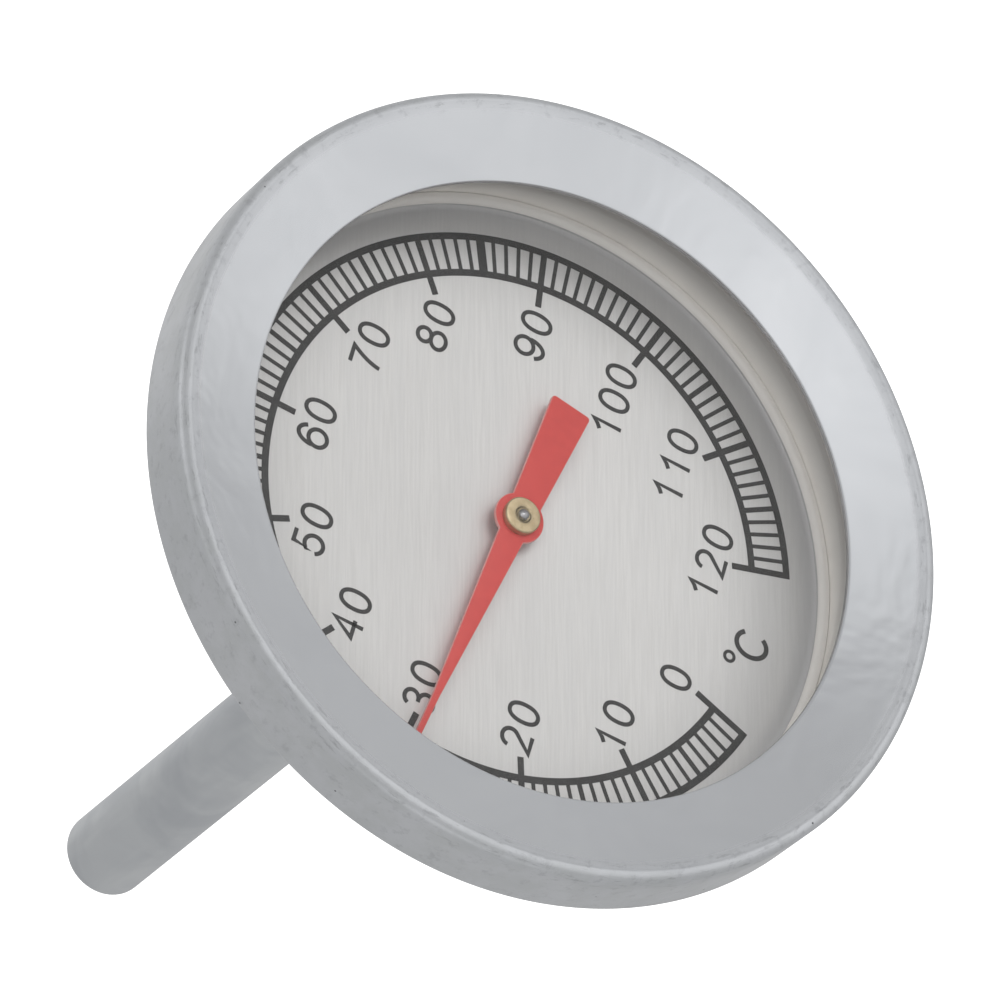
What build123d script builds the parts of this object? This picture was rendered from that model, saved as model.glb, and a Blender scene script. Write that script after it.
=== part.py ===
from build123d import *
from math import cos, radians, tan
import os

# Dial thermometer with a plain rear stem and a bimetal helix inside it.
# The dial faces -Y, 12 o'clock is +Z, and the stem runs along +Y. The origin is on the
# dial's axis, where the stem's free length starts behind the braze.
# A "depth" is measured back from the front rim of the bezel, so Y = depth - origin_depth.
# Millimetres, degrees and degrees Celsius.

# Case and bezel
sheet = 0.4              # sheet metal of bezel, case and tube
case_depth = 8.2         # front rim to flat back
bezel_r = 26.5
bezel_height = 5.35
window_r = 20.86         # opening in the bezel's face
dish_angle = 15.5        # slope of the bezel's face, down towards the window
rim_round = 0.6
lip_round = 0.12         # dressed edge of the sheet
curl_r = 24.9            # inner edge of the lip crimped under the case
curl_round = 0.5
wall_r = 22.5            # inner wall of the case cup
floor_depth = case_depth - sheet
foot_round = 1.1         # inside corner between wall and floor
flange_r = 26.0          # rim of the case flange, inside the bezel
flange_round = 0.6
skirt_gap = 0.05         # between the flange's skirt and the crimped lip
boss_r = 5.2             # pressed centre boss that takes the tube's flare
boss_rise = 1.0
boss_round = 0.3
boss_edge_round = 0.6

# Window
lens_r = 25.5
lens_thick = 1.2
lens_gap = 0.03          # under the bezel's lip
gasket_r = 23.1
gasket_thick = 0.5
soft_round = 0.15        # edges of glass and rubber

# Dial
dial_depth = 7.4
dial_thick = 0.3
dial_hole_r = 1.1
dial_rim_r = 22.45       # outside of the dial's turned-up rim
dial_rim_front = 6.6
dial_rim_bend = 0.7      # inside radius of the rim's bend
adhesive_r = 6.5         # inner edge of the adhesive ring behind the dial
adhesive_inset = 1.5     # from the outside of the dial's rim

# Scale and pointer
scale_top = 60.0         # reading at 12 o'clock
degrees_per_celsius = 2.7
rest_reading = 29.5
pointer_depth = 6.32
pointer_thick = 0.3
tip_length, tip_width = 18.0, 0.4
tip_corner = 0.16
neck_length, neck_width = 14.5, 0.48     # where the wedge runs out into the tip
tail_length, tail_width = 9.4, 2.9
tail_round = 0.25
pointer_boss_r = 1.7
hub_r = 1.225
hub_front = 5.8
hub_neck_r = 0.75
hub_rivet_r = 1.0
hub_rivet_thick = 0.18
spindle_r = 0.35
spindle_front = 5.57

# Stem
stem_r = 3.0
stem_tip_depth = 67.1
tip_round = 0.6
tip_wall = 0.5
neck_r = 2.75            # swaged end of the tube, from its flare to the top of the braze
flare_r = 4.4
braze_leg = 1.0          # height of the fillet along the tube
braze_width = 1.1        # its width on the case back
braze_hollow_r = 1.6     # radius of its concave face
hole_gap = 0.02          # case hole over the tube's neck
running_gap = 0.05       # bushes round the spindle
bush_length = 3.6
upper_bush_front = 11.0
lower_bush_front = 30.0

# Bimetal helix
helix_r = 1.9            # middle of the strip
strip_thick = 0.25
strip_width = 1.6
helix_pitch = 2.0
helix_turns = 13
helix_front = 37.4       # middle of the strip at its free end
weld_gap = 0.005         # between the helix and the bosses inside it
core_r = helix_r - strip_thick / 2 - weld_gap
collar_length = 2.4
anchor_length = 2.8      # boss inside the helix's fixed end
anchor_step = 0.2        # from the end of the helix to the anchor's shoulder
anchor_gap = 0.05        # round the anchor, inside the tube

# Derived
tan_dish = tan(radians(dish_angle))
under_sheet = sheet / cos(radians(dish_angle))
tube_r = stem_r - sheet
case_r = wall_r + sheet
rim_corner_depth = rim_round * (1 - tan_dish - 1 / cos(radians(dish_angle)))
window_depth = rim_corner_depth + (bezel_r - window_r) * tan_dish
lens_front = window_depth + under_sheet + lens_gap
gasket_front = lens_front + lens_thick
flange_depth = gasket_front + gasket_thick
skirt_end = bezel_height - sheet - skirt_gap
boss_floor = floor_depth + boss_rise
boss_back = boss_floor + sheet
origin_depth = boss_back + braze_leg
helix_height = helix_pitch * helix_turns
helix_back = helix_front + helix_height
pointer_angle = (rest_reading - scale_top) * degrees_per_celsius


def turned(*corners):
    """A piece of revolution. A corner is (radius, depth) or (radius, depth, rounding)."""
    outline = Polyline(*[(c[0], c[1] - origin_depth) for c in corners], close=True)
    face = make_face(outline)
    for radius, depth, rounding in [c for c in corners if len(c) == 3]:
        corner = face.vertices().sort_by_distance((radius, depth - origin_depth, 0))[0]
        face = fillet(corner, rounding)
    return revolve(face, Axis.Y)


def bezel_ring():
    """Drawn sheet ring: dished face round the window, side wall, lip crimped under the flange."""
    inner_r = bezel_r - sheet
    inner_corner = rim_corner_depth + sheet * tan_dish + under_sheet
    return turned(
        (window_r, window_depth, lip_round),
        (bezel_r, rim_corner_depth, rim_round),
        (bezel_r, bezel_height, curl_round),
        (curl_r, bezel_height, lip_round),
        (curl_r, bezel_height - sheet, lip_round),
        (inner_r, bezel_height - sheet, curl_round - sheet),
        (inner_r, inner_corner, rim_round - sheet),
        (window_r, window_depth + under_sheet, lip_round),
    )


def lens():
    """Flat clear disc with eased edges, held between the bezel's lip and the gasket."""
    return turned(
        (0, lens_front),
        (lens_r, lens_front, soft_round),
        (lens_r, gasket_front, soft_round),
        (0, gasket_front),
    )


def lens_gasket():
    """Flat rubber ring between the lens and the case flange."""
    return turned(
        (gasket_r, gasket_front, soft_round),
        (lens_r, gasket_front, soft_round),
        (lens_r, flange_depth, soft_round),
        (gasket_r, flange_depth, soft_round),
    )


def case_cup():
    """Drawn cup: flange with a turned-down skirt, wall, flat floor and a pressed centre boss."""
    hole_r = neck_r + hole_gap
    outer_boss_r = boss_r + sheet
    return turned(
        (hole_r, boss_floor),
        (boss_r, boss_floor, boss_round),
        (boss_r, floor_depth, boss_edge_round),
        (wall_r, floor_depth, foot_round),
        (wall_r, flange_depth, flange_round),
        (flange_r, flange_depth, flange_round),
        (flange_r, skirt_end, lip_round),
        (flange_r - sheet, skirt_end, lip_round),
        (flange_r - sheet, flange_depth + sheet, flange_round - sheet),
        (case_r, flange_depth + sheet, flange_round - sheet),
        (case_r, case_depth, foot_round + sheet),
        (outer_boss_r, case_depth, boss_edge_round - sheet),
        (outer_boss_r, boss_back, boss_round + sheet),
        (hole_r, boss_back),
    )


def dial_plate():
    """Thin pressed dish that carries the scale: flat face, low turned-up rim, spindle hole."""
    back = dial_depth + dial_thick
    inside_r = dial_rim_r - dial_thick
    return turned(
        (dial_hole_r, dial_depth),
        (inside_r, dial_depth, dial_rim_bend),
        (inside_r, dial_rim_front),
        (dial_rim_r, dial_rim_front),
        (dial_rim_r, back, dial_rim_bend + dial_thick),
        (dial_hole_r, back),
    )


def dial_adhesive():
    """Adhesive ring that holds the dial on the floor of the case."""
    edge = dial_rim_r - adhesive_inset
    return turned(
        (adhesive_r, dial_depth + dial_thick),
        (edge, dial_depth + dial_thick),
        (edge, floor_depth),
        (adhesive_r, floor_depth),
    )


def stem_tube():
    """Thin tube with a closed, rounded tip and a swaged neck, flared inside the case."""
    neck_bore_r = neck_r - sheet
    inner_tip = stem_tip_depth - tip_wall
    return turned(
        (neck_bore_r, boss_floor - sheet, boss_round),
        (flare_r, boss_floor - sheet, lip_round),
        (flare_r, boss_floor, lip_round),
        (neck_r, boss_floor),
        (neck_r, origin_depth),
        (stem_r, origin_depth),
        (stem_r, stem_tip_depth, tip_round),
        (0, stem_tip_depth),
        (0, inner_tip),
        (tube_r, inner_tip, tip_round - sheet),
        (tube_r, origin_depth + sheet),
        (neck_bore_r, origin_depth + sheet),
    )


def braze_ring():
    """Filler metal round the neck, hollow outside, from the case back to the tube's shoulder."""
    toe = (stem_r + braze_width, -braze_leg)
    root = (neck_r, -braze_leg)
    shoulder = (neck_r, 0)
    top = (stem_r, 0)
    outline = Polyline(toe, root, shoulder, top)
    face = make_face([outline, RadiusArc(top, toe, -braze_hollow_r)])
    return revolve(face, Axis.Y)


def guide_bush(front):
    """Pressed-in bush whose bore carries the spindle, with a countersunk mouth."""
    bore_r = spindle_r + running_gap
    mouth = 0.5
    edge = 0.25
    return turned(
        (bore_r, front + mouth),
        (bore_r + mouth, front),
        (tube_r - edge, front),
        (tube_r, front + edge),
        (tube_r, front + bush_length - edge),
        (tube_r - edge, front + bush_length),
        (bore_r, front + bush_length),
    )


def spindle():
    """Straight wire from the helix's collar to just in front of the pointer hub."""
    tip_ease = 0.1
    back = helix_front + strip_width / 2
    return turned(
        (0, spindle_front),
        (spindle_r, spindle_front, tip_ease),
        (spindle_r, back),
        (0, back),
    )


def helix_collar():
    """Collar fixed on the spindle. The helix's free end is welded round it."""
    front = helix_front + strip_width / 2 - collar_length
    return turned(
        (spindle_r, front),
        (core_r, front, soft_round),
        (core_r, front + collar_length, soft_round),
        (spindle_r, front + collar_length),
    )


def bimetal_helix():
    """Flat strip wound edge to edge into a helix, whose free end turns as it warms."""
    path = Helix(pitch=helix_pitch, height=helix_height, radius=helix_r)
    section = Plane(origin=path @ 0, x_dir=(1, 0, 0), z_dir=path % 0)
    strip = sweep(section * Rectangle(strip_thick, strip_width), path=path, is_frenet=True)
    upright = Rot(-90, 0, 0) * strip
    return Pos(0, helix_front - origin_depth, 0) * upright


def helix_anchor():
    """Plug in the closed end of the tube. The helix's fixed end is welded round its boss."""
    seat = stem_tip_depth - tip_wall
    core_front = helix_back + strip_width / 2 - anchor_length
    core_back = helix_back + strip_width / 2 + anchor_step
    corner = tip_round - sheet + 2 * anchor_gap
    anchor_r = tube_r - anchor_gap
    return turned(
        (0, core_front),
        (core_r, core_front, soft_round),
        (core_r, core_back),
        (anchor_r, core_back),
        (anchor_r, seat - corner),
        (anchor_r - corner, seat),
        (0, seat),
    )


def pointer():
    """Stamped blade: a wedge from the tail to the neck, a narrow tip and a round boss."""
    back = pointer_depth + pointer_thick - origin_depth
    wedge = make_face(Polyline(
        (-tip_width / 2, tip_length),
        (tip_width / 2, tip_length),
        (neck_width / 2, neck_length),
        (tail_width / 2, -tail_length),
        (-tail_width / 2, -tail_length),
        (-neck_width / 2, neck_length),
        close=True,
    ))
    blade = fillet(wedge.vertices().sort_by(Axis.Y)[:2], tail_round)
    blade = fillet(blade.vertices().sort_by(Axis.Y)[-2:], tip_corner)
    blade = blade + Circle(pointer_boss_r) - Circle(hub_neck_r)
    flat = extrude(Plane.XZ.offset(-back) * blade, amount=pointer_thick)
    return Rot(0, pointer_angle, 0) * flat


def pointer_hub():
    """Turned hub pressed on the spindle: a head in front of the blade, riveted over behind."""
    back = pointer_depth + pointer_thick
    return turned(
        (spindle_r, hub_front),
        (hub_r, hub_front, lip_round),
        (hub_r, pointer_depth),
        (hub_neck_r, pointer_depth),
        (hub_neck_r, back),
        (hub_rivet_r, back),
        (hub_rivet_r, back + hub_rivet_thick),
        (spindle_r, back + hub_rivet_thick),
    )


nodes = {
    "bezel_ring": bezel_ring(),
    "lens": lens(),
    "lens_gasket": lens_gasket(),
    "case_cup": case_cup(),
    "dial_plate": dial_plate(),
    "dial_adhesive": dial_adhesive(),
    "stem_tube": stem_tube(),
    "braze_ring": braze_ring(),
    "upper_guide_bush": guide_bush(upper_bush_front),
    "lower_guide_bush": guide_bush(lower_bush_front),
    "helix_anchor": helix_anchor(),
    "bimetal_helix": bimetal_helix(),
    "helix_collar": helix_collar(),
    "spindle": spindle(),
    "pointer": pointer(),
    "pointer_hub": pointer_hub(),
}

os.makedirs("parts", exist_ok=True)
for name, solid in nodes.items():
    export_step(solid, f"parts/{name}.step")
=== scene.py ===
import math
import random

import bpy
from mathutils import Matrix, Vector


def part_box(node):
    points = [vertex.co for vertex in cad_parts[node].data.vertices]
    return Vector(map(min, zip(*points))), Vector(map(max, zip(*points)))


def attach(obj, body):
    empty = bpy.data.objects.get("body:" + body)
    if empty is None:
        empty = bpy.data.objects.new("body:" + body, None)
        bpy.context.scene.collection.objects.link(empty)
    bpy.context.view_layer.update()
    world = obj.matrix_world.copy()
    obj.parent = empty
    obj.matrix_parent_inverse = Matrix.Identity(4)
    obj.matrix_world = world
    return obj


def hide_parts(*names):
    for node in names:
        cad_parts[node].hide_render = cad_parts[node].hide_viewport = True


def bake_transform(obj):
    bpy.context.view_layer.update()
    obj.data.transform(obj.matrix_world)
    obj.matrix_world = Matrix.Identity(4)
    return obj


# Dial thermometer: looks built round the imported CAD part, in metres, in the part's own frame.
# The dial faces -Y, 12 o'clock is +Z and the stem runs along +Y. Sizes below are millimetres.
# A "depth" is measured back from the front rim of the bezel; a dial angle runs clockwise from
# 12 o'clock as the dial is read.

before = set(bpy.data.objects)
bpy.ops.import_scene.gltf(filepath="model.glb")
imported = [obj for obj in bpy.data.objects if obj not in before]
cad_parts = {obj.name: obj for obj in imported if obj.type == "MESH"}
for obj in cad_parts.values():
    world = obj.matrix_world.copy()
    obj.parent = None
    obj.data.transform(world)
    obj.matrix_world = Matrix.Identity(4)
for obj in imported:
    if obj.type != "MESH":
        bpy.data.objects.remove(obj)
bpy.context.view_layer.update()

MM = 0.001
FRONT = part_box("bezel_ring")[0].y
ORIGIN_DEPTH = -FRONT / MM
CASE, INDICATOR = "case", "indicator"

# Sizes shared with the CAD
sheet = 0.4
bezel_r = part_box("bezel_ring")[1].x / MM
bezel_height = (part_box("bezel_ring")[1].y - FRONT) / MM
window_r, window_depth = 20.86, 1.375
rim_round, curl_r, curl_round = 0.6, 24.9, 0.5
lens_front = (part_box("lens")[0].y - FRONT) / MM
lens_back = (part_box("lens")[1].y - FRONT) / MM
lens_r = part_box("lens")[1].x / MM
gasket_inner_r, gasket_outer_r = 23.1, 25.5
flange_depth = (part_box("lens_gasket")[1].y - FRONT) / MM
flange_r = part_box("case_cup")[1].x / MM
wall_r, floor_depth = 22.5, 7.8
boss_r, boss_floor = 5.2, 8.8
dial_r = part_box("dial_plate")[1].x / MM
dial_front, dial_rim_front = 7.4, (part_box("dial_plate")[0].y - FRONT) / MM
dial_thick, dial_hole_r = 0.3, 1.1
pointer_front = (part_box("pointer")[0].y - FRONT) / MM
pointer_back = (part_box("pointer")[1].y - FRONT) / MM
READING, MIDDLE_READING, TOP_READING = 29.5, 60.0, 120
ZERO_ANGLE, PER_DEGREE = -162.0, 2.7
pointer_angle = math.radians((READING - MIDDLE_READING) * PER_DEGREE)
hub_front = (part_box("pointer_hub")[0].y - FRONT) / MM
hub_back = (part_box("pointer_hub")[1].y - FRONT) / MM
hub_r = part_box("pointer_hub")[1].x / MM
pointer_hole_r, hub_foot_r = 0.75, 1.0
spindle_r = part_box("spindle")[1].x / MM
spindle_front = (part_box("spindle")[0].y - FRONT) / MM
spindle_back = (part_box("spindle")[1].y - FRONT) / MM
stem_r, tube_r, neck_r, flare_r, tip_round, cap = 3.0, 2.6, 2.75, 4.4, 0.6, 0.5
stem_tip = (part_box("stem_tube")[1].y - FRONT) / MM
helix_r, strip_thick, strip_width = 1.9, 0.25, 1.6
helix_pitch, helix_turns, helix_front = 2.0, 13, 37.4


# ---------------------------------------------------------------- geometry

def at(radius, depth, angle):
    """A point on a circle round the dial's axis."""
    return Vector((radius * MM * math.sin(angle), FRONT + depth * MM, radius * MM * math.cos(angle)))


def rounded(corners, steps=8):
    """A closed outline of (radius, depth) points from corners that may carry a rounding."""
    out = []
    count = len(corners)
    for i, corner in enumerate(corners):
        here = Vector(corner[:2])
        if len(corner) == 2:
            out.append(here)
            continue
        back = Vector(corners[i - 1][:2]) - here
        ahead = Vector(corners[(i + 1) % count][:2]) - here
        back.normalize()
        ahead.normalize()
        half = back.angle(ahead) / 2
        middle = (back + ahead).normalized()
        centre = here + middle * (corner[2] / math.sin(half))
        first = here + back * (corner[2] / math.tan(half)) - centre
        last = here + ahead * (corner[2] / math.tan(half)) - centre
        turn = first.angle_signed(last)
        for k in range(steps + 1):
            a = -turn * k / steps
            spoke = Vector((
                first.x * math.cos(a) - first.y * math.sin(a),
                first.x * math.sin(a) + first.y * math.cos(a),
            ))
            out.append(centre + spoke)
    return out


def mesh_object(name, points, faces, sharp=40.0):
    """A smooth-shaded mesh whose edges stay crisp where faces meet at more than sharp degrees."""
    mesh = bpy.data.meshes.new(name)
    mesh.from_pydata([tuple(p) for p in points], [], faces)
    mesh.validate()
    mesh.shade_smooth()
    mesh.set_sharp_from_angle(angle=math.radians(sharp))
    obj = bpy.data.objects.new(name, mesh)
    bpy.context.scene.collection.objects.link(obj)
    return obj


def lathe(name, outline, around=256, shape=None, sharp=40.0):
    """Revolves a closed outline about the dial's axis. shape(radius, depth, angle) may bend it."""
    points, rows = [], []
    for radius, depth in outline:
        on_axis = radius < 1e-6
        row = []
        for k in range(1 if on_axis else around):
            angle = 2 * math.pi * k / around
            r, d = shape(radius, depth, angle) if shape and not on_axis else (radius, depth)
            row.append(len(points))
            points.append(at(r, d, angle))
        rows.append(row if not on_axis else row * around)
    faces = []
    for i, row in enumerate(rows):
        after = rows[(i + 1) % len(rows)]
        if row[0] == row[-1] and after[0] == after[-1]:
            continue
        for k in range(around):
            n = (k + 1) % around
            quad = [row[k], row[n], after[n], after[k]]
            face = [v for j, v in enumerate(quad) if v != quad[j - 1]]
            faces.append(face)
    obj = mesh_object(name, points, faces, sharp)
    face_outwards(obj)
    return obj


def face_outwards(obj):
    """Turns a closed mesh inside out if its enclosed volume is negative."""
    mesh = obj.data
    mesh.calc_loop_triangles()
    volume = 0.0
    for tri in mesh.loop_triangles:
        a, b, c = (mesh.vertices[v].co for v in tri.vertices)
        volume += a.dot(b.cross(c))
    if volume < 0:
        mesh.flip_normals()


def fit(obj, body, slot, *nodes):
    """Puts a finished piece on its body in place of the CAD nodes it stands for."""
    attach(obj, body)
    if nodes:
        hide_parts(*nodes)
    return obj


def bezel_shape():
    """Closed outline of the bezel: crowned dish, a fine spun line inside the crest, crimped lip."""
    crest_r = bezel_r - rim_round
    line_r, line_half = 25.28, 0.16
    slope_in, slope_out = math.radians(18.6), math.radians(12.2)
    face = []
    steps = 60
    run = crest_r - window_r
    for k in range(steps + 1):
        r = window_r + 0.1 + (run - 0.25) * k / steps
        t = (r - window_r) / run
        drop = window_depth * (1 - t) * (1 + t * (math.tan(slope_in) - math.tan(slope_out)) * 0.5)
        groove = 0.007 * math.exp(-((r - line_r) / line_half) ** 2)
        face.append((r, drop + groove - 0.004))
    outline = [(window_r, window_depth + 0.33), (window_r, window_depth + 0.06)]
    outline += [(window_r + 0.015, window_depth + 0.02), (window_r + 0.045, window_depth - 0.004)]
    outline += face
    for k in range(0, 13):
        a = math.radians(-8 + 98 * k / 12)
        outline.append((crest_r + rim_round * math.sin(a), rim_round - rim_round * math.cos(a)))
    back = rounded([
        (bezel_r, 2 * rim_round),
        (bezel_r, bezel_height, curl_round),
        (curl_r, bezel_height, 0.12),
        (curl_r, bezel_height - sheet, 0.12),
        (bezel_r - sheet, bezel_height - sheet, 0.1),
        (bezel_r - sheet, rim_round, 0.1),
        (crest_r, sheet + 0.02, 0.05),
        (window_r + 0.1, window_depth + 0.41, 0.05),
        (window_r, window_depth + 0.33),
    ], 6)
    return outline + [tuple(p) for p in back[:-1]]


def build_bezel():
    rng = random.Random(11)
    waves = [(rng.uniform(2, 16), rng.uniform(0, 6.28), rng.uniform(0.2, 1)) for _ in range(10)]

    def dress(radius, depth, angle):
        """The punched window edge wanders by a few hundredths."""
        near = max(0.0, 1 - abs(radius - window_r) / 0.25)
        wander = sum(s * math.sin(round(f) * angle + p) for f, p, s in waves) / 10
        return radius + 0.012 * near * wander, depth

    obj = lathe("bezel_shell", bezel_shape(), 512, dress, 50)
    return fit(obj, CASE, "bezel_steel", "bezel_ring")


def build_lens():
    outline = rounded([
        (0, lens_front), (lens_r, lens_front, 0.15), (lens_r, lens_back, 0.15), (0, lens_back),
    ], 4)
    return fit(lathe("window_disc", outline, 192), CASE, "window", "lens")


def build_gasket():
    outline = rounded([
        (gasket_inner_r, lens_back, 0.15), (gasket_outer_r, lens_back, 0.15),
        (gasket_outer_r, flange_depth, 0.15), (gasket_inner_r, flange_depth, 0.15),
    ], 4)
    return fit(lathe("gasket_band", outline, 192), CASE, "rubber", "lens_gasket")


def build_cup():
    skirt_end = bezel_height - sheet - 0.05
    outline = rounded([
        (neck_r + 0.02, boss_floor),
        (boss_r, boss_floor, 0.3),
        (boss_r, floor_depth, 0.6),
        (wall_r, floor_depth, 1.1),
        (wall_r, flange_depth, 0.6),
        (flange_r, flange_depth, 0.6),
        (flange_r, skirt_end, 0.12),
        (flange_r - sheet, skirt_end, 0.12),
        (flange_r - sheet, flange_depth + sheet, 0.2),
        (wall_r + sheet, flange_depth + sheet, 0.2),
        (wall_r + sheet, floor_depth + sheet, 1.5),
        (boss_r + sheet, floor_depth + sheet, 0.2),
        (boss_r + sheet, boss_floor + sheet, 0.7),
        (neck_r + 0.02, boss_floor + sheet),
    ], 8)
    return fit(lathe("cup_shell", outline, 320), CASE, "case_steel", "case_cup")


def build_dial():
    inside, back = dial_r - dial_thick, dial_front + dial_thick
    bead_r, shoulder = 0.42, 0.2
    bead = [
        (dial_r - shoulder - bead_r * math.cos(a), dial_rim_front + bead_r - bead_r * math.sin(a))
        for a in (math.radians(-30 + 120 * k / 14) for k in range(15))
    ]
    bead.append((dial_r, dial_rim_front + 0.01))
    dish = rounded([
        (dial_r, dial_front),
        (dial_r, back, 1.0),
        (dial_hole_r, back, 0.04),
        (dial_hole_r, dial_front, 0.04),
        (inside, dial_front, 0.7),
        (inside, dial_rim_front),
    ], 10)
    outline = [tuple(p) for p in dish[:-1]] + bead
    return fit(lathe("dial_dish", outline, 360), CASE, "dial_metal", "dial_plate")


def build_stem():
    shoulder = ORIGIN_DEPTH
    outline = rounded([
        (neck_r - sheet, boss_floor - sheet, 0.3),
        (flare_r, boss_floor - sheet, 0.12),
        (flare_r, boss_floor, 0.12),
        (neck_r, boss_floor),
        (neck_r, shoulder),
        (stem_r, shoulder),
        (stem_r, stem_tip, tip_round),
        (0, stem_tip),
        (0, stem_tip - cap),
        (tube_r, stem_tip - cap, tip_round - sheet),
        (tube_r, shoulder + sheet),
        (neck_r - sheet, shoulder + sheet),
    ], 16)
    return fit(lathe("stem_shell", outline, 160), CASE, "stem_steel", "stem_tube")


def build_braze():
    rng = random.Random(4)
    waves = [(k, rng.uniform(0, 6.28), rng.uniform(0.3, 1) / k) for k in range(2, 9)]
    leg, width, hollow = 1.0, 1.1, 1.6
    toe, top = Vector((stem_r + width, ORIGIN_DEPTH - leg)), Vector((stem_r, ORIGIN_DEPTH))
    chord = top - toe
    out = Vector((-chord.y, chord.x)).normalized()
    if out.x < 0:
        out = -out
    centre = (toe + top) / 2 + out * math.sqrt(hollow ** 2 - (chord.length / 2) ** 2)
    a0 = math.atan2(toe.y - centre.y, toe.x - centre.x)
    a1 = math.atan2(top.y - centre.y, top.x - centre.x)
    a0, a1 = a0 % (2 * math.pi), a1 % (2 * math.pi)
    arc = [
        (centre.x + hollow * math.cos(a0 + (a1 - a0) * k / 10),
         centre.y + hollow * math.sin(a0 + (a1 - a0) * k / 10))
        for k in range(11)
    ]
    outline = arc + [(neck_r, ORIGIN_DEPTH), (neck_r, ORIGIN_DEPTH - leg)]

    def flow(radius, depth, angle):
        """The filler ran a little further round some of the tube than the rest."""
        if radius < stem_r + 0.01:
            return radius, depth
        ripple = sum(s * math.sin(k * angle + p) for k, p, s in waves)
        return radius - 0.05 * (radius - stem_r) * (1 + ripple), depth

    return fit(lathe("braze_fillet", outline, 128, flow), CASE, "braze", "braze_ring")


def build_hub():
    outline = rounded([
        (spindle_r, hub_front + 0.12),
        (spindle_r + 0.12, hub_front + 0.1, 0.03),
        (spindle_r + 0.22, hub_front, 0.03),
        (hub_r, hub_front, 0.12),
        (hub_r, pointer_front, 0.03),
        (pointer_hole_r, pointer_front),
        (pointer_hole_r, pointer_back),
        (hub_foot_r, pointer_back),
        (hub_foot_r, hub_back, 0.06),
        (spindle_r, hub_back),
    ], 6)
    return fit(lathe("hub_turned", outline, 96), INDICATOR, "brass", "pointer_hub")


def build_spindle():
    rng = random.Random(8)
    hits = [(rng.uniform(0, 6.28), rng.uniform(0.3, 1)) for _ in range(5)]
    dome = [(spindle_r * math.sin(a), spindle_front + 0.16 * (1 - math.cos(a)))
            for a in (math.radians(90 * k / 8) for k in range(9))]
    outline = dome + [(spindle_r, spindle_back), (0, spindle_back)]

    def stake(radius, depth, angle):
        """Punch marks flatten the wire's domed end unevenly."""
        if depth > spindle_front + 0.3:
            return radius, depth
        dent = sum(s * max(0.0, math.cos(angle - p)) ** 4 for p, s in hits)
        return radius, depth + 0.05 * dent * radius / spindle_r * (radius < spindle_r)

    return fit(lathe("spindle_wire", outline, 48, stake), INDICATOR, "wire_steel", "spindle")


def blade_outline():
    """The pointer seen from the front, (across, along), counter-clockwise from its tip."""
    tip, neck, tail = (0.2, 18.0), (0.24, 14.5), (1.45, -9.4)
    boss = 1.7
    slope = (tail[0] - neck[0]) / (tail[1] - neck[1])
    middle = neck[0] - slope * neck[1]
    a, b, c = 1 + slope ** 2, 2 * middle * slope, middle ** 2 - boss ** 2
    root = math.sqrt(b * b - 4 * a * c)
    high, low = (-b + root) / (2 * a), (-b - root) / (2 * a)
    right = [(tip[0] - 0.16 * (1 - math.sin(t)), tip[1] - 0.16 * (1 - math.cos(t)))
             for t in (math.radians(90 * k / 5) for k in range(6))]
    right.append(neck)
    start = math.atan2(middle + slope * high, high)
    end = math.atan2(middle + slope * low, low)
    for k in range(33):
        t = start + (end - start) * k / 32
        right.append((boss * math.sin(t), boss * math.cos(t)))
    corner = rounded([neck, (tail[0], tail[1], 0.25), (-tail[0], tail[1])], 6)
    right += [tuple(p) for p in corner[1:-1]]
    left = [(-u, v) for u, v in reversed(right)]
    return right + left


def inset(outline, amount):
    """The outline moved inwards by amount, each point along its own normal."""
    out = []
    count = len(outline)
    for i, here in enumerate(outline):
        before, after = Vector(outline[i - 1]), Vector(outline[(i + 1) % count])
        along = (after - before).normalized()
        normal = Vector((along.y, -along.x))
        out.append(tuple(Vector(here) + normal * amount))
    return out


def build_pointer():
    outline = blade_outline()
    bevel, edge = 0.05, 0.06
    rings = [
        (inset(outline, edge), pointer_front),
        (inset(outline, edge * 0.3), pointer_front + bevel * 0.3),
        (outline, pointer_front + bevel),
        (outline, pointer_back - bevel),
        (inset(outline, edge), pointer_back),
    ]
    cos_a, sin_a = math.cos(pointer_angle), math.sin(pointer_angle)
    points = []
    for ring, depth in rings:
        for u, v in ring:
            x, z = u * cos_a + v * sin_a, -u * sin_a + v * cos_a
            points.append((x * MM, FRONT + depth * MM, z * MM))
    n = len(outline)
    faces = [list(range(n)), list(range(n * 4, n * 5))[::-1]]
    for k in range(len(rings) - 1):
        for i in range(n):
            j = (i + 1) % n
            faces.append([k * n + i, (k + 1) * n + i, (k + 1) * n + j, k * n + j])
    obj = mesh_object("pointer_blade", points, faces, 30)
    face_outwards(obj)
    worn = obj.data.attributes.new("worn_edge", "FLOAT", "POINT")
    level = (0.0, 0.5, 1.0, 1.0, 0.0)
    worn.data.foreach_set("value", [level[i // n] for i in range(n * 5)])
    return fit(obj, INDICATOR, "pointer_paint", "pointer")


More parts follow.
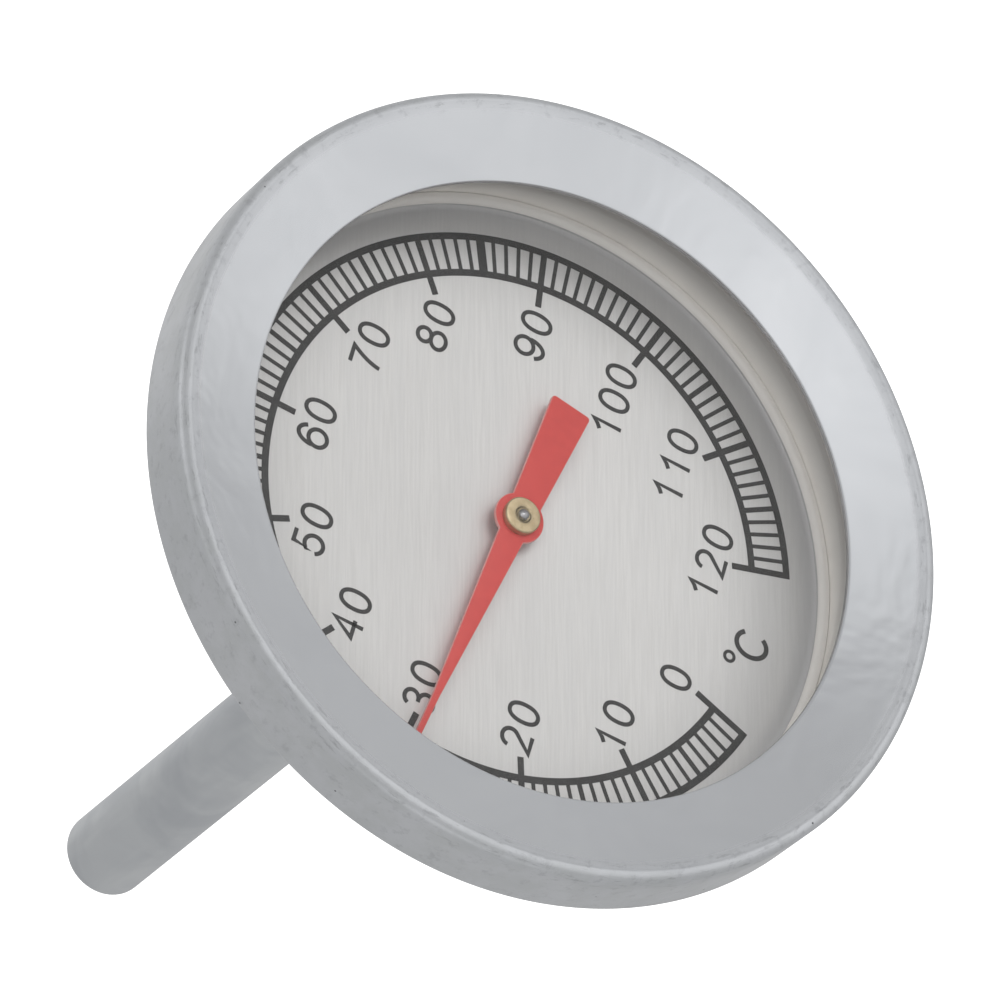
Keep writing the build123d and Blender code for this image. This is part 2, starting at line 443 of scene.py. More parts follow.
def build_helix():
    per_turn = 48
    steps = per_turn * helix_turns
    half_t, half_w = strip_thick / 2, strip_width / 2
    ease = 0.04
    section = [
        (-half_t, -half_w + ease), (-half_t + ease, -half_w), (half_t - ease, -half_w),
        (half_t, -half_w + ease), (half_t, half_w - ease), (half_t - ease, half_w),
        (-half_t + ease, half_w), (-half_t, half_w - ease),
    ]
    lean = math.atan2(helix_pitch, 2 * math.pi * helix_r)
    points, faces = [], []
    for k in range(steps + 1):
        t = 2 * math.pi * k / per_turn
        depth = helix_front + helix_pitch * k / per_turn
        for across, width in section:
            r = helix_r + across
            swing = width * math.sin(lean) / helix_r
            y = FRONT + (depth + width * math.cos(lean)) * MM
            points.append((r * MM * math.cos(t - swing), y, -r * MM * math.sin(t - swing)))
    m = len(section)
    for k in range(steps):
        for i in range(m):
            j = (i + 1) % m
            faces.append([k * m + i, k * m + j, (k + 1) * m + j, (k + 1) * m + i])
    faces += [list(range(m))[::-1], list(range(steps * m, steps * m + m))]
    obj = mesh_object("bimetal_strip", points, faces, 50)
    face_outwards(obj)
    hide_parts("bimetal_helix")
    low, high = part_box("bimetal_helix")
    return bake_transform(obj)


# ---------------------------------------------------------------- printed scale

INK = 0.02               # height of the print on the dial
LINE = 0.28              # stroke of the numerals
DIGIT_W, DIGIT_H = 1.5, 2.3
ADVANCE = 1.95           # from one digit to the next
SCALE_INNER, SCALE_OUTER = (17.0, 17.47), (19.53, 20.0)
TICK_WIDTHS = {10: 0.43, 5: 0.35, 1: 0.27}
LONG_TICK_FOOT = 15.8
HEAVY_TICK, HEAVY_WIDTH = 85, 0.62


class Print:
    """Collects flat printed shapes on the dial and turns them into one raised mesh."""

    def __init__(self):
        self.points, self.faces = [], []

    def strip(self, left, right, height, closed=False):
        """A ribbon between two rows of (x, z) points, with its sides down to the dial."""
        n = len(left)
        base = len(self.points)
        for row, h in ((left, height), (right, height), (right, 0.0), (left, 0.0)):
            for x, z in row:
                self.points.append((x * MM, FRONT + (dial_front - h) * MM, z * MM))
        for i in range(n if closed else n - 1):
            j = (i + 1) % n
            for k in range(4):
                if k == 2:
                    continue
                a, b = base + k * n, base + ((k + 1) % 4) * n
                self.faces.append([a + i, b + i, b + j, a + j])
        if not closed:
            self.faces.append([base + k * n for k in range(4)])
            self.faces.append([base + k * n + n - 1 for k in (3, 2, 1, 0)])

    def band(self, inner, outer, start, end, height):
        """Part of a ring, from start to end degrees of dial angle."""
        steps = max(2, int((end - start) / 0.9))
        angles = [math.radians(start + (end - start) * k / steps) for k in range(steps + 1)]
        rows = [[(r * math.sin(a), r * math.cos(a)) for a in angles] for r in (inner, outer)]
        self.strip(rows[1], rows[0], height)

    def bar(self, angle, inner, outer, width, height):
        """A straight radial mark at a dial angle in degrees."""
        a = math.radians(angle)
        out, side = (math.sin(a), math.cos(a)), (math.cos(a), -math.sin(a))
        rows = []
        for s in (-0.5, 0.5):
            rows.append([
                (r * out[0] + s * width * side[0], r * out[1] + s * width * side[1])
                for r in (inner, outer)
            ])
        self.strip(rows[0], rows[1], height)

    def stroke(self, path, width, height, closed=False):
        """A line of even width along a path, with mitred corners."""
        path = [Vector(p) for p in path]
        n = len(path)
        left, right = [], []
        for i, here in enumerate(path):
            before = path[i - 1] if closed or i > 0 else None
            after = path[(i + 1) % n] if closed or i < n - 1 else None
            d0 = (here - before).normalized() if before is not None else None
            d1 = (after - here).normalized() if after is not None else None
            d0, d1 = d0 or d1, d1 or d0
            along = (d0 + d1).normalized()
            normal = Vector((-along.y, along.x))
            reach = width / 2 / max(0.5, normal.dot(Vector((-d1.y, d1.x))))
            left.append(tuple(here + normal * reach))
            right.append(tuple(here - normal * reach))
        self.strip(left, right, height, closed)

    def build(self, name):
        obj = mesh_object(name, self.points, self.faces, 30)
        return fit(obj, CASE, None)


def arc(cx, cy, rx, ry, start, end, steps=20, power=2.0):
    """Points on an oval arc, degrees counter-clockwise from the right. power > 2 squares it."""
    out = []
    for k in range(steps + 1):
        a = math.radians(start + (end - start) * k / steps)
        c, s = math.cos(a), math.sin(a)
        out.append((
            cx + rx * math.copysign(abs(c) ** (2 / power), c),
            cy + ry * math.copysign(abs(s) ** (2 / power), s),
        ))
    return out


def bend(start, control, end, steps=12):
    """Points on a quadratic curve."""
    out = []
    for k in range(steps + 1):
        t = k / steps
        out.append(tuple(
            (1 - t) ** 2 * s + 2 * t * (1 - t) * c + t * t * e
            for s, c, e in zip(start, control, end)
        ))
    return out


# Strokes of each numeral in a unit box: (path, closed).
SIX = [
    (arc(0.5, 0.32, 0.5, 0.32, 0, 354, 40), True),
    (arc(0.53, 0.5, 0.53, 0.5, 183, 30, 24), False),
]
NUMERALS = {
    "0": [(arc(0.5, 0.5, 0.5, 0.5, 0, 354, 48, 2.25), True)],
    "1": [([(0.14, 0.72), (0.40, 0.83), (0.62, 1.0), (0.62, 0.0)], False)],
    "2": [(arc(0.5, 0.72, 0.47, 0.28, 175, -38, 22) + [(0.03, 0.0), (1.0, 0.0)], False)],
    "3": [
        (arc(0.47, 0.76, 0.42, 0.24, 160, -90, 20) + [(0.36, 0.52)], False),
        ([(0.36, 0.52)] + arc(0.47, 0.26, 0.50, 0.26, 90, -162, 24), False),
    ],
    "4": [([(0.76, 0.0), (0.76, 1.0), (0.0, 0.31), (1.0, 0.31)], False)],
    "5": [([(0.92, 1.0), (0.22, 1.0), (0.09, 0.47)] + arc(0.47, 0.32, 0.5, 0.32, 138, -160, 26),
           False)],
    "6": SIX,
    "7": [([(0.0, 1.0)] + bend((1.0, 1.0), (0.44, 0.52), (0.33, 0.0)), False)],
    "8": [
        (arc(0.5, 0.76, 0.41, 0.24, 0, 350, 30), True),
        (arc(0.5, 0.26, 0.50, 0.26, 0, 350, 34), True),
    ],
    "9": [([(1 - x, 1 - y) for x, y in path], closed) for path, closed in SIX],
}
# Left and right of the ink, for numerals that don't fill the unit box
DIGIT_EDGES = {"1": (0.14, 0.62)}


def print_number(ink, text, x, z):
    """Prints a number whose inked width is centred at x, z."""
    wide, tall = DIGIT_W - LINE, DIGIT_H - LINE
    first, last = DIGIT_EDGES.get(text[0], (0, 1)), DIGIT_EDGES.get(text[-1], (0, 1))
    left = first[0] * wide
    right = (len(text) - 1) * ADVANCE + last[1] * wide
    for i, digit in enumerate(text):
        x0 = x - (left + right) / 2 + i * ADVANCE
        z0 = z - tall / 2
        for k, (path, closed) in enumerate(NUMERALS[digit]):
            placed = [(x0 + u * wide, z0 + v * tall) for u, v in path]
            ink.stroke(placed, LINE, INK + 0.001 * k, closed)


def build_scale():
    arcs = Print()
    top = ZERO_ANGLE + TOP_READING * PER_DEGREE
    for low, high in (SCALE_INNER, SCALE_OUTER):
        arcs.band(low, high, ZERO_ANGLE, top, INK)
    for reading in range(TOP_READING + 1):
        angle = ZERO_ANGLE + reading * PER_DEGREE
        kind = next(k for k in TICK_WIDTHS if reading % k == 0)
        width = HEAVY_WIDTH if reading == HEAVY_TICK else TICK_WIDTHS[kind]
        foot = LONG_TICK_FOOT if kind == 10 else SCALE_INNER[1] - 0.05
        head = SCALE_OUTER[1] if reading in (0, TOP_READING) else SCALE_OUTER[0] + 0.05
        arcs.bar(angle, foot, head, width, INK - 0.003)
    return arcs.build("scale_print")


def build_numerals():
    ink = Print()
    centres = {
        0: (-4.6, -13.4), 10: (-9.8, -10.36), 20: (-13.07, -4.3), 30: (-13.7, 2.57),
        40: (-11.3, 8.4), 50: (-7.07, 12.43), 60: (0.0, 14.25), 70: (6.93, 12.4),
        80: (10.68, 8.68), 90: (13.5, 2.25), 100: (12.0, -4.25), 110: (9.75, -9.5),
        120: (4.43, -13.57),
    }
    for reading, (x, z) in centres.items():
        print_number(ink, str(reading), x, z)
    ink.stroke(arc(-1.32, -16.5, 0.34, 0.34, 0, 345, 24), 0.22, INK, True)
    ink.stroke(arc(0.2, -17.75, 0.885, 1.085, 38, 322, 36), 0.33, INK)
    return ink.build("numeral_print")


# ---------------------------------------------------------------- materials

class Shader:
    """A node material with short helpers. Numbers, colours and sockets can be mixed as inputs."""

    def __init__(self, name):
        self.material = bpy.data.materials.new(name)
        self.material.use_nodes = True
        self.tree = self.material.node_tree
        self.tree.nodes.clear()
        self.out = self.tree.nodes.new("ShaderNodeOutputMaterial")
        self.base = self.tree.nodes.new("ShaderNodeBsdfPrincipled")
        self.tree.links.new(self.base.outputs[0], self.out.inputs["Surface"])
        coords = self.tree.nodes.new("ShaderNodeTexCoord").outputs["Object"]
        scaled = self.tree.nodes.new("ShaderNodeVectorMath")
        scaled.operation = "SCALE"
        self.tree.links.new(coords, scaled.inputs[0])
        scaled.inputs["Scale"].default_value = 1 / MM
        self.position = scaled.outputs[0]
        split = self.tree.nodes.new("ShaderNodeSeparateXYZ")
        self.tree.links.new(self.position, split.inputs[0])
        self.x, self.y, self.z = split.outputs

    def put(self, value, socket):
        if isinstance(value, bpy.types.NodeSocket):
            self.tree.links.new(value, socket)
        elif isinstance(value, tuple) and len(value) == 3 and socket.type == "RGBA":
            socket.default_value = (*value, 1)
        else:
            socket.default_value = value

    def set(self, **inputs):
        for name, value in inputs.items():
            self.put(value, self.base.inputs[name.replace("_", " ")])
        return self.material

    def math(self, operation, *values, clamp=False):
        node = self.tree.nodes.new("ShaderNodeMath")
        node.operation = operation
        node.use_clamp = clamp
        for value, socket in zip(values, node.inputs):
            self.put(value, socket)
        return node.outputs[0]

    def source(self, name):
        """The socket that already feeds an input of the base shader."""
        return self.base.inputs[name].links[0].from_socket

    def depth(self, low, high):
        """A smooth step between two depths behind the bezel's front rim."""
        return self.ramp(self.y, low - ORIGIN_DEPTH, high - ORIGIN_DEPTH)

    def radius(self):
        squares = self.math("ADD", self.math("POWER", self.x, 2), self.math("POWER", self.z, 2))
        return self.math("SQRT", squares)

    def combine(self, x, y, z):
        node = self.tree.nodes.new("ShaderNodeCombineXYZ")
        for value, socket in zip((x, y, z), node.inputs):
            self.put(value, socket)
        return node.outputs[0]

    def scaled(self, x, y, z, turn=0.0):
        """The position in millimetres, turned about the dial's axis and scaled along each axis."""
        node = self.tree.nodes.new("ShaderNodeMapping")
        self.put(self.position, node.inputs["Vector"])
        node.inputs["Rotation"].default_value = (0, turn, 0)
        split = self.tree.nodes.new("ShaderNodeSeparateXYZ")
        self.put(node.outputs[0], split.inputs[0])
        parts = [self.math("MULTIPLY", s, f) for s, f in zip(split.outputs, (x, y, z))]
        return self.combine(*parts)

    def noise(self, scale, detail=3.0, rough=0.55, where=None, distort=0.0):
        node = self.tree.nodes.new("ShaderNodeTexNoise")
        self.put(where if where is not None else self.position, node.inputs["Vector"])
        for name, value in (("Scale", scale), ("Detail", detail), ("Roughness", rough),
                            ("Distortion", distort)):
            self.put(value, node.inputs[name])
        return node.outputs[0]

    def spots(self, scale, size, share, where=None):
        """1 inside small round specks: size is their radius, share how many cells have one."""
        node = self.tree.nodes.new("ShaderNodeTexVoronoi")
        self.put(where if where is not None else self.position, node.inputs["Vector"])
        self.put(scale, node.inputs["Scale"])
        split = self.tree.nodes.new("ShaderNodeSeparateXYZ")
        self.put(node.outputs["Color"], split.inputs[0])
        chosen = self.math("LESS_THAN", split.outputs[0], share)
        inside = self.ramp(node.outputs["Distance"], size * scale, size * scale * 0.5)
        return self.math("MULTIPLY", chosen, inside)

    def ramp(self, value, low, high, out_low=0.0, out_high=1.0):
        """A smooth step of value from low to high."""
        node = self.tree.nodes.new("ShaderNodeMapRange")
        node.interpolation_type = "SMOOTHSTEP"
        flip = low > high
        if flip:
            low, high, out_low, out_high = high, low, out_high, out_low
        for given, name in ((value, "Value"), (low, "From Min"), (high, "From Max"),
                            (out_low, "To Min"), (out_high, "To Max")):
            self.put(given, node.inputs[name])
        return node.outputs["Result"]

    def mix(self, factor, a, b):
        node = self.tree.nodes.new("ShaderNodeMix")
        node.data_type = "RGBA"
        self.put(factor, node.inputs[0])
        self.put(a, node.inputs[6])
        self.put(b, node.inputs[7])
        return node.outputs[2]

    def bump(self, height, distance, strength=1.0, after=None):
        """A bump whose distance is in millimetres."""
        node = self.tree.nodes.new("ShaderNodeBump")
        self.put(height, node.inputs["Height"])
        node.inputs["Distance"].default_value = distance * MM
        node.inputs["Strength"].default_value = strength
        if after is not None:
            self.put(after, node.inputs["Normal"])
        return node.outputs[0]


def paint(obj, material):
    obj.data.materials.clear()
    obj.data.materials.append(material)


def steel(name, light, dark, roughness=0.3, cloud=0.12, grain=2.5, bump=0.002):
    """Satin steel: cloudy polish, fine grain and a slightly uneven surface."""
    s = Shader(name)
    clouds = s.noise(cloud, 3, 0.6, distort=0.6)
    fine = s.noise(grain, 4, 0.6)
    s.set(
        Base_Color=s.mix(s.ramp(clouds, 0.3, 0.7), light, dark),
        Metallic=1.0,
        Roughness=s.math("ADD", roughness - 0.06, s.math("MULTIPLY", clouds, 0.12)),
        Normal=s.bump(fine, bump, 1.0, s.bump(clouds, 0.12, 1.0)),
    )
    return s


def bezel_material():
    """Polished ring: scratched and pitted on its crest, grimy at the lip, dull on its cut edge."""
    s = steel("bezel_steel", (0.705, 0.72, 0.745), (0.668, 0.684, 0.71), 0.2, 0.11)
    color = s.source("Base Color")
    radius = s.radius()
    crest = s.ramp(radius, 25.0, 25.8)
    specks = s.math("MULTIPLY", s.spots(0.9, 0.09, 0.14), crest)
    wear = s.math("MULTIPLY", s.ramp(s.noise(1.3, 5, 0.7), 0.52, 0.7), s.ramp(radius, 24.9, 25.5))
    lip = s.math("MULTIPLY", s.ramp(radius, window_r + 0.09, window_r + 0.02), s.depth(1.54, 1.62))
    grime = s.math("MULTIPLY", lip, s.ramp(s.noise(0.25, 3, 0.6), 0.35, 0.6))
    mottle = s.ramp(s.noise(0.5, 4, 0.65), 0.35, 0.65)
    rolled = s.math("MULTIPLY", s.ramp(radius, 25.6, 26.2), mottle)
    color = s.mix(s.math("MULTIPLY", rolled, 0.25), color, (0.52, 0.545, 0.53))
    color = s.mix(s.math("MULTIPLY", wear, 0.35), color, (0.42, 0.43, 0.45))
    color = s.mix(s.math("MULTIPLY", grime, 0.4), color, (0.42, 0.38, 0.35))
    color = s.mix(specks, color, (0.08, 0.08, 0.09))
    across = s.math("ADD", s.math("MULTIPLY", radius, 4.0), s.math("MULTIPLY", s.y, 4.0))
    round_x, round_z = s.math("MULTIPLY", s.x, 0.7), s.math("MULTIPLY", s.z, 0.7)
    streaks = s.noise(1.0, 5, 0.7, s.combine(round_x, across, round_z))
    edge = s.math("MULTIPLY", s.ramp(radius, 24.9, 25.7), s.depth(1.9, 0.8))
    scratch = s.math("MULTIPLY", s.ramp(streaks, 0.56, 0.66), edge)
    color = s.mix(s.math("MULTIPLY", scratch, 0.4), color, (0.34, 0.35, 0.36))
    normal, smooth = s.source("Normal"), s.source("Roughness")
    cut = s.math("MULTIPLY", s.ramp(radius, window_r + 0.07, window_r + 0.01), s.depth(1.38, 1.44))
    color = s.mix(s.math("MULTIPLY", cut, 0.6), color, (0.30, 0.29, 0.29))
    haze = s.math("ADD", s.math("MULTIPLY", crest, 0.1), s.math("MULTIPLY", edge, 0.14))
    return s.set(
        Base_Color=color,
        Metallic=s.math("SUBTRACT", 1.0, s.math("MULTIPLY", cut, 0.6)),
        Roughness=s.math("ADD", smooth, haze),
        Normal=s.bump(s.math("MULTIPLY", streaks, edge), 0.03, 0.8, normal),
    )


def stem_material():
    """Drawn tube, stained where the brazing heated it."""
    s = steel("stem_steel", (0.69, 0.71, 0.725), (0.58, 0.60, 0.625), 0.36, 0.16, 3.0)
    color = s.source("Base Color")
    along = s.noise(1.0, 3, 0.6, s.scaled(0.35, 0.05, 0.35))
    near = s.ramp(s.y, 9.0, 2.0)
    stain = s.math("MULTIPLY", near, s.ramp(s.noise(0.45, 4, 0.6), 0.35, 0.7))
    color = s.mix(s.math("MULTIPLY", s.ramp(along, 0.4, 0.65), 0.3), color, (0.50, 0.52, 0.55))
    color = s.mix(s.math("MULTIPLY", stain, 0.35), color, (0.36, 0.38, 0.41))
    return s.set(Base_Color=color)


def cup_material():
    """Pressed cup: bright inside, with painted shade darkening the inner wall toward the window;
    plain satin steel outside, with faint spinning rings.
    """
    s = Shader("case_steel")
    blot, grain = s.noise(0.25, 4, 0.6), s.noise(3.0, 4, 0.6)
    radius = s.radius()
    rings = s.noise(1.0, 2, 0.5, s.combine(s.math("MULTIPLY", radius, 3.0), s.y, 0.0))
    past_wall = s.ramp(radius, wall_r + 0.15, wall_r + 0.25)
    outside = s.math("MAXIMUM", past_wall, s.depth(floor_depth + 0.15, floor_depth + 0.25))
    inner = s.mix(s.ramp(blot, 0.3, 0.7), (0.94, 0.915, 0.87), (0.88, 0.855, 0.81))
    # Painted shade: the inner wall darkens from the dial up toward the window, under the bezel's lip.
    inner = s.mix(s.depth(6.6, 4.2), inner, (0.52, 0.51, 0.49))
    outer = s.mix(s.ramp(blot, 0.3, 0.7), (0.70, 0.705, 0.71), (0.62, 0.63, 0.64))
    return s.set(
        Base_Color=s.mix(outside, inner, outer),
        Metallic=s.math("ADD", 0.1, s.math("MULTIPLY", outside, 0.9)),
        Roughness=s.math("ADD", 0.26, s.math("MULTIPLY", grain, 0.1)),
        Normal=s.bump(rings, 0.006, 0.6, s.bump(grain, 0.003, 0.8)),
    )


def dial_material():
    """Brushed plate with specks of dust; painted shade darkens it toward its edge, and a pale band
    painted on the turned-up rim stands in for its highlight.
    """
    s = Shader("dial_metal")
    turn = math.radians(16)
    streaks = s.noise(1.0, 4, 0.6, s.scaled(0.25, 1.0, 7.0, turn))
    broad = s.noise(1.0, 3, 0.5, s.scaled(0.05, 1.0, 0.9, turn))
    color = s.mix(s.ramp(streaks, 0.3, 0.7), (0.75, 0.745, 0.732), (0.69, 0.685, 0.672))
    color = s.mix(s.math("MULTIPLY", s.ramp(broad, 0.35, 0.7), 0.3), color, (0.68, 0.68, 0.675))
    dust = s.spots(0.32, 0.11, 0.22)
    color = s.mix(s.math("MULTIPLY", dust, 0.75), color, (0.30, 0.30, 0.30))
    # Painted highlight: the rim bead's pale, rougher colour stands in for the bright ridge along the
    # dial's edge.
    bead = s.depth(7.05, 6.95)
    # Painted shade: the plate's colour darkens outward from r 14 mm to the scale's edge, and further
    # over the margin beyond it, for the shade under the bezel.
    painted_shade_margin = s.ramp(s.radius(), 20.3, 21.3)
    outer = s.ramp(s.radius(), 14.0, 20.0)
    color = s.mix(s.math("MULTIPLY", outer, 0.35), color, (0.46, 0.46, 0.46))
    color = s.mix(s.math("MULTIPLY", painted_shade_margin, 0.38), color, (0.40, 0.405, 0.42))
    dull = s.math("ADD", 0.42, s.math("MULTIPLY", streaks, 0.12))
    return s.set(
        # The pale rim colour here is a painted highlight.
        Base_Color=s.mix(bead, color, (0.93, 0.91, 0.87)),
        Metallic=s.math("SUBTRACT", 0.4, s.math("MULTIPLY", painted_shade_margin, 0.25)),
        Roughness=s.math("ADD", dull, s.math("MULTIPLY", bead, 0.2)),
        Normal=s.bump(streaks, 0.004, 0.7),
    )


def ink_material():
    s = Shader("scale_ink")
    cover = s.noise(4.0, 4, 0.6)
    edge = s.noise(0.35, 2, 0.5)
    color = s.mix(s.ramp(cover, 0.35, 0.75), (0.020, 0.019, 0.019), (0.036, 0.035, 0.034))
    color = s.mix(s.math("MULTIPLY", s.ramp(edge, 0.45, 0.7), 0.35), color, (0.05, 0.05, 0.05))
    return s.set(Base_Color=color, Roughness=0.55, Normal=s.bump(cover, 0.004, 0.5))


def paint_material():
    s = Shader("pointer_paint")
    worn = s.tree.nodes.new("ShaderNodeAttribute")
    worn.attribute_name = "worn_edge"
    peel = s.noise(2.2, 4, 0.6)
    color = s.mix(s.ramp(peel, 0.3, 0.7), (0.745, 0.085, 0.075), (0.69, 0.075, 0.068))
    thin = s.math("MULTIPLY", worn.outputs["Fac"], s.ramp(s.noise(0.8, 3, 0.6), 0.2, 0.6, 0.5, 1))
    color = s.mix(s.math("MULTIPLY", thin, 0.75), color, (0.85, 0.55, 0.52))
    nick = s.spots(0.45, 0.09, 0.12)
    color = s.mix(s.math("MULTIPLY", nick, 0.6), color, (0.85, 0.45, 0.38))
    return s.set(
        Base_Color=color, Roughness=0.5, Specular_IOR_Level=0.35,
        Normal=s.bump(peel, 0.006, 0.6),
    )


def brass_material():
    s = Shader("brass")
    radius = s.radius()
    turned = s.noise(1.0, 3, 0.7, s.combine(s.math("MULTIPLY", radius, 9.0), 0.0, 0.0))
    blot = s.noise(1.6, 4, 0.65)
    color = s.mix(s.ramp(blot, 0.35, 0.7), (0.60, 0.49, 0.31), (0.48, 0.38, 0.23))
    core = s.math("MULTIPLY", s.ramp(radius, 0.75, 0.45), s.ramp(s.noise(3.0, 3), 0.3, 0.6))
    color = s.mix(s.math("MULTIPLY", core, 0.8), color, (0.22, 0.19, 0.13))
    pits = s.spots(2.2, 0.06, 0.2)
    color = s.mix(s.math("MULTIPLY", pits, 0.6), color, (0.28, 0.22, 0.12))
    return s.set(
        Base_Color=color, Metallic=0.85,
        Roughness=s.math("ADD", 0.34, s.math("MULTIPLY", blot, 0.15)),
        Normal=s.bump(turned, 0.01, 0.7, s.bump(blot, 0.02, 0.5)),
    )


def glass_material():
    """Clear window: lets light straight through and reflects a little, with faint smears."""
    s = Shader("window_glass")
    tree = s.tree
    smear = s.noise(0.12, 3, 0.6)
    clear = tree.nodes.new("ShaderNodeBsdfTransparent")
    clear.inputs["Color"].default_value = (0.971, 0.970, 0.970, 1)
    gloss = tree.nodes.new("ShaderNodeBsdfGlossy")
    s.put(s.ramp(smear, 0.4, 0.8, 0.02, 0.12), gloss.inputs["Roughness"])
    edge = tree.nodes.new("ShaderNodeFresnel")
    edge.inputs["IOR"].default_value = 1.5
    behind = tree.nodes.new("ShaderNodeNewGeometry").outputs["Backfacing"]
    both = tree.nodes.new("ShaderNodeMixShader")
    s.put(s.math("MULTIPLY", edge.outputs[0], s.math("SUBTRACT", 1.0, behind)), both.inputs[0])
    tree.links.new(clear.outputs[0], both.inputs[1])
    tree.links.new(gloss.outputs[0], both.inputs[2])
    tree.links.new(both.outputs[0], s.out.inputs["Surface"])
    tree.nodes.remove(s.base)
    return s.material


def rubber_material():
    s = Shader("rubber")
    grain = s.noise(5.0, 4, 0.6)
    color = s.mix(grain, (0.03, 0.03, 0.03), (0.06, 0.06, 0.058))
    return s.set(Base_Color=color, Roughness=0.75, Normal=s.bump(grain, 0.02, 0.6))


def braze_material():
    s = Shader("braze")
    lumps, tint = s.noise(1.6, 4, 0.6), s.noise(0.6, 3, 0.6)
    color = s.mix(s.ramp(tint, 0.35, 0.65), (0.62, 0.60, 0.55), (0.46, 0.42, 0.34))
    return s.set(
        Base_Color=color, Metallic=0.9, Roughness=s.math("ADD", 0.35, s.math("MULTIPLY", lumps, 0.3)),
        Normal=s.bump(lumps, 0.12, 0.8),
    )


def adhesive_material():
    s = Shader("adhesive")
    fibres = s.noise(2.5, 5, 0.7)
    color = s.mix(fibres, (0.78, 0.77, 0.72), (0.88, 0.87, 0.83))
    return s.set(Base_Color=color, Roughness=0.8, Normal=s.bump(fibres, 0.03, 0.5))


def wire_material():
    s = Shader("wire_steel")
    drawn = s.noise(1.0, 3, 0.6, s.scaled(6.0, 0.2, 6.0))
    blot = s.noise(1.1, 4, 0.6)
    color = s.mix(s.ramp(blot, 0.3, 0.7), (0.52, 0.52, 0.53), (0.38, 0.38, 0.39))
    return s.set(
        Base_Color=color, Metallic=1.0,
        Roughness=s.math("ADD", 0.3, s.math("MULTIPLY", blot, 0.2)),
        Normal=s.bump(drawn, 0.01, 0.6),
    )


def bimetal_material():
    """Two rolled alloys: the strip's inner face is a little warmer in colour than its outer one."""
    s = Shader("bimetal")
    layer = s.ramp(s.radius(), helix_r - 0.04, helix_r + 0.04)
    rolled = s.noise(1.0, 3, 0.6, s.scaled(1.0, 6.0, 1.0))
    color = s.mix(layer, (0.62, 0.56, 0.47), (0.56, 0.56, 0.55))
    color = s.mix(s.math("MULTIPLY", s.ramp(rolled, 0.4, 0.7), 0.3), color, (0.42, 0.40, 0.37))
    return s.set(Base_Color=color, Metallic=1.0, Roughness=0.38, Normal=s.bump(rolled, 0.01, 0.6))


# ---------------------------------------------------------------- light and camera

# Soft lights of the studio, all round the object: direction, half-angles in degrees where the
# light is full and where it has faded out, and strength.
LIGHTS = [
    ((0.12, -0.88, -0.42), 24, 46, 0.33),
    ((0.24, -0.97, 0.04), 10, 24, 0.18),
    ((0.80, -0.45, -0.50), 14, 38, 0.075),
    ((0.75, 0.62, 0.10), 15, 45, 0.13),
    ((0.10, 0.15, 1.00), 10, 30, 0.45),
    ((-0.90, 0.10, -0.20), 6, 24, 0.35),
]
AMBIENT = 0.52


def build_world():
    """Lights the object with the studio's soft lights; the camera sees plain white behind it."""
    world = bpy.data.worlds.new("studio")
    bpy.context.scene.world = world
    world.use_nodes = True
    tree = world.node_tree
    tree.nodes.clear()
    direction = tree.nodes.new("ShaderNodeTexCoord").outputs["Generated"]
    total = None
    for axis, full, faded, strength in LIGHTS:
        dot = tree.nodes.new("ShaderNodeVectorMath")
        dot.operation = "DOT_PRODUCT"
        tree.links.new(direction, dot.inputs[0])
        dot.inputs[1].default_value = Vector(axis).normalized()
        step = tree.nodes.new("ShaderNodeMapRange")
        step.interpolation_type = "SMOOTHSTEP"
        tree.links.new(dot.outputs["Value"], step.inputs["Value"])
        step.inputs["From Min"].default_value = math.cos(math.radians(faded))
        step.inputs["From Max"].default_value = math.cos(math.radians(full))
        step.inputs["To Max"].default_value = strength
        add = tree.nodes.new("ShaderNodeMath")
        add.operation = "ADD"
        tree.links.new(step.outputs["Result"], add.inputs[0])
        if total is None:
            add.inputs[1].default_value = AMBIENT
        else:
            tree.links.new(total, add.inputs[1])
        total = add.outputs[0]
    lit = tree.nodes.new("ShaderNodeBackground")
    tree.links.new(total, lit.inputs["Strength"])
    lit.inputs["Color"].default_value = (1, 1, 1, 1)
    white = tree.nodes.new("ShaderNodeBackground")
    white.inputs["Color"].default_value = (1, 1, 1, 1)
    path = tree.nodes.new("ShaderNodeLightPath")
    both = tree.nodes.new("ShaderNodeMixShader")
    out = tree.nodes.new("ShaderNodeOutputWorld")
    tree.links.new(path.outputs["Is Camera Ray"], both.inputs[0])
    tree.links.new(lit.outputs[0], both.inputs[1])
    tree.links.new(white.outputs[0], both.inputs[2])
    tree.links.new(both.outputs[0], out.inputs["Surface"])


# Soft lamps that only the inside of the case receives: direction, diameter in metres, watts.
LAMPS = {
    "front_lamp": ((0.33, -0.94, 0.09), 0.3, 0.7),
    "left_lamp": ((-0.35, -0.75, 0.56), 0.4, 0.75),
}
LAMP_DISTANCE = 0.6
INSIDE = (
    "dial_dish", "scale_print", "numeral_print", "pointer_blade", "hub_turned",
    "spindle_wire", "cup_shell", "gasket_band",
)


def build_lamps():
    inside = bpy.data.collections.new("inside_case")
    for name in INSIDE:
        inside.objects.link(bpy.data.objects[name])
    for name, (axis, diameter, watts) in LAMPS.items():
        toward = Vector(axis).normalized()
        data = bpy.data.lights.new(name, "AREA")
        data.shape, data.size, data.energy = "DISK", diameter, watts
        lamp = bpy.data.objects.new(name, data)
        bpy.context.scene.collection.objects.link(lamp)
        aim = toward.to_track_quat("Z", "Y").to_matrix().to_4x4()
        lamp.matrix_world = Matrix.Translation(toward * LAMP_DISTANCE) @ aim
        lamp.light_linking.receiver_collection = inside


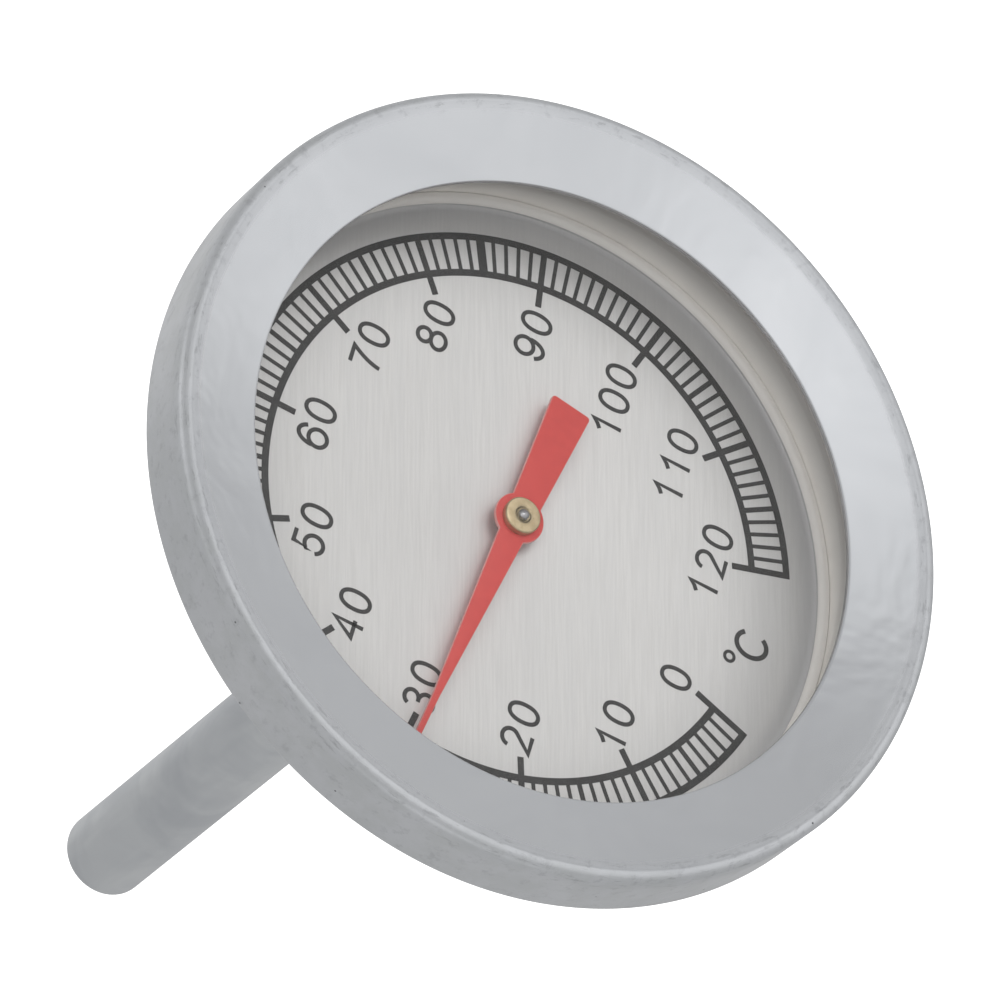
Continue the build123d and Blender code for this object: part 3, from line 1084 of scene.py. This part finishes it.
def build_floor():
    """A plain white floor, far enough below for the object's shadow to fade out."""
    half, level = 3.0, -0.1
    corners = [(-half, -half, level), (half, -half, level), (half, half, level), (-half, half, level)]
    floor = mesh_object("floor", corners, [[0, 1, 2, 3]])
    s = Shader("floor_white")
    tint = s.noise(0.002, 2, 0.5)
    s.set(
        Base_Color=s.mix(tint, (0.90, 0.90, 0.90), (0.92, 0.92, 0.92)), Roughness=0.9,
        Emission_Color=(1.0, 1.0, 1.0), Emission_Strength=1.0,
    )
    paint(floor, s.material)
    floor.visible_diffuse = False
    floor.visible_glossy = False
    floor.visible_shadow = False


def build_camera():
    camera = bpy.data.objects.new("camera", bpy.data.cameras.new("camera"))
    bpy.context.scene.collection.objects.link(camera)
    right = Vector((0.24176, -0.46637, -0.85091)).normalized()
    back = Vector((-0.53096, -0.79757, 0.28628)).normalized()
    up = back.cross(right).normalized()
    turn = Matrix((right, up, back)).transposed().to_4x4()
    camera.matrix_world = Matrix.Translation(Vector((-0.27146, -0.41236, 0.14818))) @ turn
    camera.data.lens = 294.9
    camera.data.sensor_width = 36.0
    camera.data.clip_start, camera.data.clip_end = 0.01, 20.0
    bpy.context.scene.camera = camera


# ---------------------------------------------------------------- assembly

brass = brass_material()
wire = wire_material()
ink = ink_material()
paint(build_bezel(), bezel_material())
paint(build_lens(), glass_material())
paint(build_gasket(), rubber_material())
paint(build_cup(), cup_material())
paint(build_dial(), dial_material())
paint(build_stem(), stem_material())
paint(build_braze(), braze_material())
paint(build_hub(), brass)
paint(build_spindle(), wire)
paint(build_pointer(), paint_material())
paint(build_helix(), bimetal_material())
paint(build_scale(), ink)
paint(build_numerals(), ink)
paint(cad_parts["dial_adhesive"], adhesive_material())
paint(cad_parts["upper_guide_bush"], brass)
paint(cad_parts["lower_guide_bush"], brass)
paint(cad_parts["helix_anchor"], wire)
paint(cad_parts["helix_collar"], wire)

build_world()
build_lamps()
build_floor()
build_camera()
scene = bpy.context.scene
scene.view_settings.view_transform = "Standard"
scene.view_settings.look = "None"
